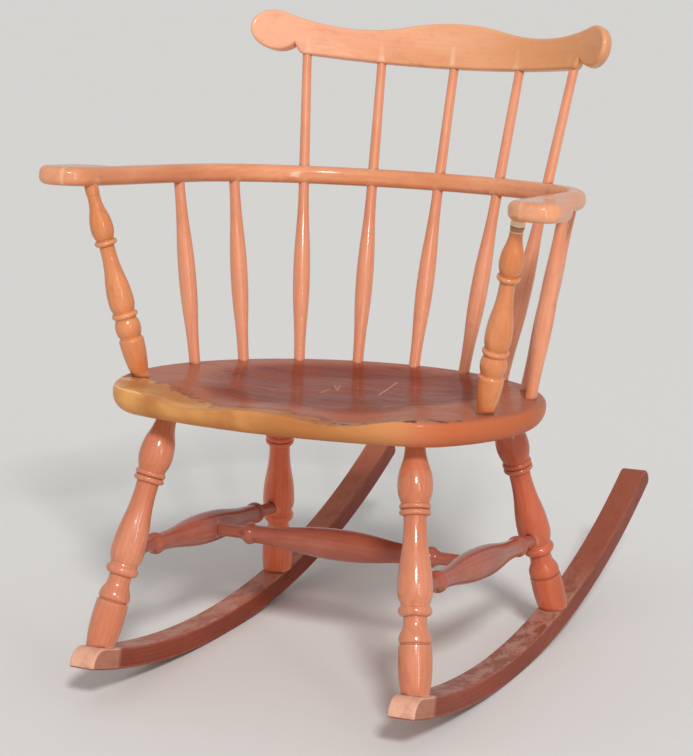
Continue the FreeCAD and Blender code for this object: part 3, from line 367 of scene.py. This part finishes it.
# The worn rings under the right arm, from the arm down: start, end, share and tone.
POST_TENON = 0.014
SCUFF_PALE = (244, 210, 172)
SCUFF_LINE = (96, 66, 52)
SCUFF_GREY = (146, 112, 90)
SCUFF_ROWS = (
    (0.0000, 0.0070, 0.85, SCUFF_PALE),
    (0.0072, 0.0088, 0.7, SCUFF_LINE),
    (0.0088, 0.0138, 0.6, SCUFF_GREY),
    (0.0140, 0.0155, 0.7, SCUFF_PALE),
)
SCUFF_RAGGED = 0.002
SCUFF_FADE = 0.0004


def scuffed_rings(finish, top):
    """The worn rings at the top of a post, whose wood meets the arm at this height along it."""
    along = finish.parts(finish.grain)[2]
    noise = finish.noise(finish.stretched(finish.grain, RING_SCUFFS), 1, 3)
    ragged = finish.sum("MULTIPLY", finish.sum("SUBTRACT", noise, 0.5), SCUFF_RAGGED)
    below = finish.sum("SUBTRACT", top, finish.sum("ADD", along, ragged))
    for low, high, share, tone in SCUFF_ROWS:
        started = finish.between(below, low - SCUFF_FADE, low + SCUFF_FADE)
        going_on = finish.between(below, high + SCUFF_FADE, high - SCUFF_FADE, 0, share)
        finish.stain(finish.sum("MULTIPLY", started, going_on), tone)


for number, (node, tones) in enumerate(turned.items()):
    start, end = ends_of(node)
    made = maple(
        f"{node}_maple",
        lambda finish: straight_grain(finish, start, end),
        tones,
        [gap + step * (number % places) for gap, step, places in zip(HEART_GAP, HEART_STEP, HEART_PLACES)],
        ring_share=0.12,
        streak_share=0.12,
        groove_shade_and_grime_share=0.9,
    )
    if node == "right_arm_post":
        scuffed_rings(made, (end - start).length - POST_TENON)
    made.settle(0.6, shine=DULL_SHINE if tones is STRETCHER_MAPLE else TURNED_SHINE)
    coat_of(node, made)

# The rockers: scuffed on top, most between the feet, and worn pale at their front tips.
ROCKER_TOP = {"left": (176, 104, 78), "right": (150, 82, 62)}
ROCKER_SCUFF = (184, 134, 116)
ROCKER_TIP = (224, 170, 144)
ROCKER_HEART = (0.01, 0.06)
TIP_START = -0.278
TIP_WORN = -0.292
UNDERFOOT_END = 0.34
UNDERFOOT_FULL = 0.16
for side, way in SIDES.items():
    made = maple(
        f"{side}_rocker_maple",
        lambda finish: rocker_grain(finish, way),
        ROCKER_MAPLE,
        ROCKER_HEART,
        edge_wear_and_highlight_share=0.8,
        roughness=0.36,
    )
    along = made.parts(made.grain)[2]
    scuffs = made.noise(made.stretched(made.grain, SCUFFS), 1, 5, 0.7)
    on_top = made.between(made.facing_up(), 0.45, 0.8)
    made.stain(made.sum("MULTIPLY", on_top, made.between(scuffs, 0.25, 0.55, 0.5, 0.95)), ROCKER_TOP[side])
    underfoot = made.between(made.sum("ABSOLUTE", along), UNDERFOOT_END, UNDERFOOT_FULL)
    stepped_on = made.sum("MULTIPLY", on_top, underfoot)
    made.stain(made.sum("MULTIPLY", stepped_on, made.between(scuffs, 0.42, 0.6, 0, 0.8)), ROCKER_SCUFF)
    toward_tip = made.between(along, TIP_START, TIP_WORN)
    off_side = made.between(made.facing_up(), -0.2, 0.25)
    tip = made.sum("MULTIPLY", toward_tip, off_side)
    made.stain(made.sum("MULTIPLY", tip, made.between(scuffs, 0.25, 0.6, 0.6, 1)), ROCKER_TIP)
    made.settle(0.15, made.sum("MULTIPLY", tip, 0.8), DULL_SHINE)
    coat_of(f"{side}_rocker", made)

# The arm bow and its hand holds: paler where hands have worn the arms' front ends.
BOW_HEART = (-0.2, 0.03)
HANDLED_WOOD = (218, 168, 134)
HANDLED_START = 0.26
HANDLED_FULL = 0.40
HANDLED_RAGGED = 0.12
bow = maple("bow_maple", bow_grain, ARM_MAPLE, BOW_HEART, ring_share=0.08, streak_share=0.12)
behind_middle = bow.parts(bow.seen_from(BOW_MIDDLE, (-BOW_SLOPE, 0, 0)))[1]
ahead = bow.sum("MULTIPLY", behind_middle, -1.0)
worn = bow.noise(bow.stretched(bow.grain, SCUFFS), 1, 5, 0.65)
reached = bow.sum("ADD", ahead, bow.sum("MULTIPLY", worn, HANDLED_RAGGED))
handled = bow.between(reached, HANDLED_START, HANDLED_FULL, 0, 0.5)
bow.stain(handled, HANDLED_WOOD)
bow.settle(0.45, bow.sum("MULTIPLY", handled, 0.5))
coat_of("arm_bow", bow)
for side in SIDES:
    coat_of(f"{side}_hand_hold", bow)

# The crest rail and its pegs: pinkish at the left, yellower and darker toward the right, where the
# darkening is painted shade.
CREST_HEART = (0.05, -0.33)
CREST_SHADED_YELLOW = (222, 152, 88)
CREST_SHADED_YELLOW_START = -0.2
CREST_SHADED_YELLOW_FULL = 0.26
crest = maple(
    "crest_maple",
    crest_grain,
    CREST_MAPLE,
    CREST_HEART,
    ring_share=0.05,
    streak_share=0.08,
    edge_wear_and_highlight_share=0.75,
)
along = crest.parts(crest.grain)[2]
# Painted shade: the right end goes darker as well as yellower.
crest.stain(crest.between(along, CREST_SHADED_YELLOW_START, CREST_SHADED_YELLOW_FULL, 0, 0.6), CREST_SHADED_YELLOW)
crest.settle(0.3, shine=CREST_SHINE)
coat_of("crest_rail", crest)
coat_of("crest_pegs", crest)

# The seat: dark in its hollow, lighter on its rim, and bare along the front.
SEAT_RIM = (188, 112, 84)
SEAT_SIDE = (196, 106, 68)
SEAT_FRONT_RIGHT = (214, 138, 100)
BARE_WOOD = (234, 170, 102)
BARE_MIDDLE = (200, 128, 80)
BARE_SHADE = (184, 116, 66)
STALE_VARNISH = (112, 62, 36)
SCRATCH = (226, 176, 132)
LIP_HIGHLIGHT = (250, 208, 152)
SEAT_HEART = (0.1, 0.09)

# How far right each change in the varnish, and the painted highlight on the lip, starts and ends.
FRONT_RIGHT_SPAN = (0.24, 0.17)
WIDER_BARE_SPAN = (-0.04, -0.15)
BARE_SPAN = (0.215, 0.095)
BARE_MIDDLE_SPAN = (-0.14, 0.06)
FLECK_SPAN = (0.02, 0.1)
LIP_HIGHLIGHT_SPAN = (0.2, 0.1)

# How far behind the front edge each one starts and ends.
FRONT_RIGHT_DEPTH = (0.03, 0.005)
BARE_WIDTHS = (0.024, 0.068)
BARE_FADE = (0.008, -0.006)
STALE_FADE = (0.022, 0.008)
FLECK_DEPTH = (0.035, 0.02)
LIP_HIGHLIGHT_DEPTH = (0.03, 0.015)
BARE_RAGGED = 0.018
BARE_DRIFT = 0.02

# Each scratch: how far right and back it starts and ends, and its width.
SCRATCHES = (
    ((0.020, 0.130), (0.046, 0.018), 0.0016),
    ((-0.039, 0.060), (-0.014, 0.018), 0.0010),
    ((-0.014, 0.018), (-0.031, 0.062), 0.0010),
    ((-0.022, -0.015), (-0.027, 0.020), 0.0014),
    ((0.104, -0.098), (0.150, 0.050), 0.0008),
)


def scratch(finish, start, end, width):
    """1 on a line from start to end, each given as how far right and how far back."""
    start = Vector(start)
    run = Vector(end) - start
    back, _, across = finish.parts(finish.grain)
    right = finish.sum("SUBTRACT", across, start.x)
    behind = finish.sum("SUBTRACT", back, start.y)
    way = run.normalized()
    along = finish.sum("ADD", finish.sum("MULTIPLY", right, way.x), finish.sum("MULTIPLY", behind, way.y))
    held = finish.sum("MINIMUM", finish.sum("MAXIMUM", along, 0.0), run.length)
    off_right = finish.sum("SUBTRACT", right, finish.sum("MULTIPLY", held, way.x))
    off_behind = finish.sum("SUBTRACT", behind, finish.sum("MULTIPLY", held, way.y))
    return finish.between(finish.length(off_right, off_behind), width, width * 0.4)


seat = maple(
    "seat_maple",
    seat_grain,
    SEAT_MAPLE,
    SEAT_HEART,
    spacing=SEAT_RING_SPACING,
    ring_share=0.12,
    streak_share=0.25,
    edge_wear_and_highlight_share=0.35,
    roughness=0.24,
)
back, _, across = seat.parts(seat.grain)
facing_up = seat.facing_up()
ragged = seat.noise(seat.stretched(seat.grain, WORN_VARNISH), 1, 6, 0.68)
broad = seat.noise(seat.stretched(seat.grain, BROAD_PATCHES), 1, 3, 0.5)
flecks = seat.noise(seat.stretched(seat.grain, FLECKS), 1, 4, 0.7)
behind_front = seat.sum("SUBTRACT", back, SEAT_FRONT_CENTRE)
from_lip = seat.sum("SUBTRACT", SEAT_FRONT_BEND, seat.length(across, behind_front))

# The rim outside the basin, and the plank's sides.
basin_behind = seat.sum("DIVIDE", seat.sum("SUBTRACT", back, BASIN_BACK), BASIN_HALF_LENGTH)
ring = seat.length(seat.sum("DIVIDE", across, BASIN_HALF_WIDTH), basin_behind)
uneven_ring = seat.sum("ADD", ring, seat.sum("MULTIPLY", broad, 0.3))
seat.stain(seat.between(uneven_ring, 1.15, 1.45, 0, 0.8), SEAT_RIM)
seat.stain(seat.between(facing_up, 0.8, 0.45), SEAT_SIDE)
front_right = seat.between(across, *FRONT_RIGHT_SPAN, 0, 0.7)
seat.stain(seat.sum("MULTIPLY", seat.between(from_lip, *FRONT_RIGHT_DEPTH), front_right), SEAT_FRONT_RIGHT)

# The bare wood along the front, wider at the left, with stale varnish round it.
reach = seat.sum("SUBTRACT", from_lip, seat.between(across, *WIDER_BARE_SPAN, *BARE_WIDTHS))
reach = seat.sum("ADD", reach, seat.between(ragged, 0.3, 0.7, -BARE_RAGGED, BARE_RAGGED))
drift = seat.between(broad, 0.3, 0.7, -BARE_DRIFT, BARE_DRIFT)
at_left = seat.between(seat.sum("ADD", across, drift), *BARE_SPAN)
bare = seat.sum("MULTIPLY", at_left, seat.between(reach, *BARE_FADE))
seat.stain(seat.sum("MULTIPLY", at_left, seat.between(reach, *STALE_FADE, 0, 0.5)), STALE_VARNISH)
seat.stain(bare, BARE_WOOD)
seat.stain(seat.sum("MULTIPLY", bare, seat.between(across, *BARE_MIDDLE_SPAN, 0, 0.7)), BARE_MIDDLE)
seat.stain(seat.sum("MULTIPLY", bare, seat.between(broad, 0.4, 0.62, 0, 0.8)), BARE_SHADE)

# Dark flecks at the right, a painted highlight along the lip, and the scratches.
near_lip = seat.sum("MULTIPLY", seat.between(from_lip, *FLECK_DEPTH), seat.between(facing_up, 0.7, 0.9))
dark_flecks = seat.sum("MULTIPLY", near_lip, seat.between(flecks, 0.5, 0.56))
seat.stain(seat.sum("MULTIPLY", dark_flecks, seat.between(across, *FLECK_SPAN)), STALE_VARNISH)
lip_highlight_band = seat.sum("MULTIPLY", seat.between(facing_up, 0.66, 0.82), seat.between(facing_up, 0.97, 0.9))
at_front = seat.sum("MULTIPLY", seat.between(from_lip, *LIP_HIGHLIGHT_DEPTH), seat.between(across, *LIP_HIGHLIGHT_SPAN, 0, 0.6))
# A painted highlight along the rounded lip, on the slopes that face partly up.
seat.stain(seat.sum("MULTIPLY", lip_highlight_band, at_front), LIP_HIGHLIGHT)
for start, end, width in SCRATCHES:
    seat.stain(seat.sum("MULTIPLY", scratch(seat, start, end, width), 0.65), SCRATCH)
seat.settle(0.07, seat.sum("MULTIPLY", bare, 0.7), SEAT_SHINE)
coat_of("seat", seat)

# The floor and the light.
FLOOR_SIZE = 60
FLOOR_TONE = (232, 231, 228)
bpy.ops.object.select_all(action="DESELECT")
bpy.ops.mesh.primitive_plane_add(size=FLOOR_SIZE)
floor = bpy.context.object
floor.name = "floor"
ground = Finish("pale_floor")
ground.shader.inputs["Base Color"].default_value = tint(*FLOOR_TONE)
ground.shader.inputs["Roughness"].default_value = 0.9
ground.shader.inputs["Specular IOR Level"].default_value = 0.1
floor.data.materials.append(ground.material)

# The sky looks brighter to the camera and in the varnish than the light that it sheds.
SKY_LIGHT = 0.46
SKY_SHOWN = 0.62
sky = bpy.data.worlds.new("studio")
bpy.context.scene.world = sky
sky.use_nodes = True
backdrop = sky.node_tree.nodes["Background"]
backdrop.inputs["Color"].default_value = (1, 1, 1, 1)
rays = sky.node_tree.nodes.new("ShaderNodeLightPath")
seen = rays.outputs["Is Camera Ray"]
for name in ("Is Glossy Ray", "Is Transmission Ray"):
    either = sky.node_tree.nodes.new("ShaderNodeMath")
    either.operation = "MAXIMUM"
    sky.node_tree.links.new(seen, either.inputs[0])
    sky.node_tree.links.new(rays.outputs[name], either.inputs[1])
    seen = either.outputs["Value"]
shown = sky.node_tree.nodes.new("ShaderNodeMapRange")
shown.inputs["To Min"].default_value = SKY_LIGHT
shown.inputs["To Max"].default_value = SKY_SHOWN
sky.node_tree.links.new(seen, shown.inputs["Value"])
sky.node_tree.links.new(shown.outputs["Result"], backdrop.inputs["Strength"])

# Each lamp looks at the chair's middle, from so many degrees round from the front and above the floor.
CHAIR_MIDDLE = Vector((0, 0, 0.4))
SUN_AROUND, SUN_ABOVE = 34, 36
SUN_SPREAD = math.radians(9)
SUN_POWER = 1.9
WINDOW_AROUND, WINDOW_ABOVE = 50, 12
WINDOW_WIDTH, WINDOW_HEIGHT = 0.22, 1.6
WINDOW_POWER = 16
LAMP_DISTANCE = 4


def hang(light, around, above):
    """Hangs a lamp at these angles, looking at the chair."""
    holder = bpy.data.objects.new(light.name, light)
    bpy.context.scene.collection.objects.link(holder)
    around, above = math.radians(around), math.radians(above)
    level = math.cos(above)
    way = Vector((math.sin(around) * level, -math.cos(around) * level, math.sin(above)))
    holder.location = CHAIR_MIDDLE + way * LAMP_DISTANCE
    holder.rotation_euler = (-way).to_track_quat("-Z", "Y").to_euler()


sun = bpy.data.lights.new("sun", "SUN")
sun.angle = SUN_SPREAD
sun.energy = SUN_POWER
hang(sun, SUN_AROUND, SUN_ABOVE)

window = bpy.data.lights.new("window", "AREA")
window.shape = "RECTANGLE"
window.size = WINDOW_WIDTH
window.size_y = WINDOW_HEIGHT
window.energy = WINDOW_POWER
hang(window, WINDOW_AROUND, WINDOW_ABOVE)

# The camera stands where the photo was taken.
CAMERA_AROUND = math.radians(26.009)
CAMERA_ABOVE = math.radians(13.570)
CAMERA_ROLL = math.radians(-0.469)
CAMERA_DISTANCE = 3.9448
CAMERA_TARGET = Vector((-0.0231, 0, 0.3765))
LENS = 142.9
LENS_SHIFT = 0.0099
back = Vector((
    math.sin(CAMERA_AROUND) * math.cos(CAMERA_ABOVE),
    -math.cos(CAMERA_AROUND) * math.cos(CAMERA_ABOVE),
    math.sin(CAMERA_ABOVE),
))
eye = bpy.data.cameras.new("camera")
eye.lens = LENS
eye.shift_x = LENS_SHIFT
camera = bpy.data.objects.new("camera", eye)
bpy.context.scene.collection.objects.link(camera)
camera.location = CAMERA_TARGET + back * CAMERA_DISTANCE
camera.rotation_mode = "QUATERNION"
camera.rotation_quaternion = (-back).to_track_quat("-Z", "Y") @ Quaternion((0, 0, 1), CAMERA_ROLL)
bpy.context.scene.camera = camera
bpy.context.scene.view_settings.view_transform = "Standard"
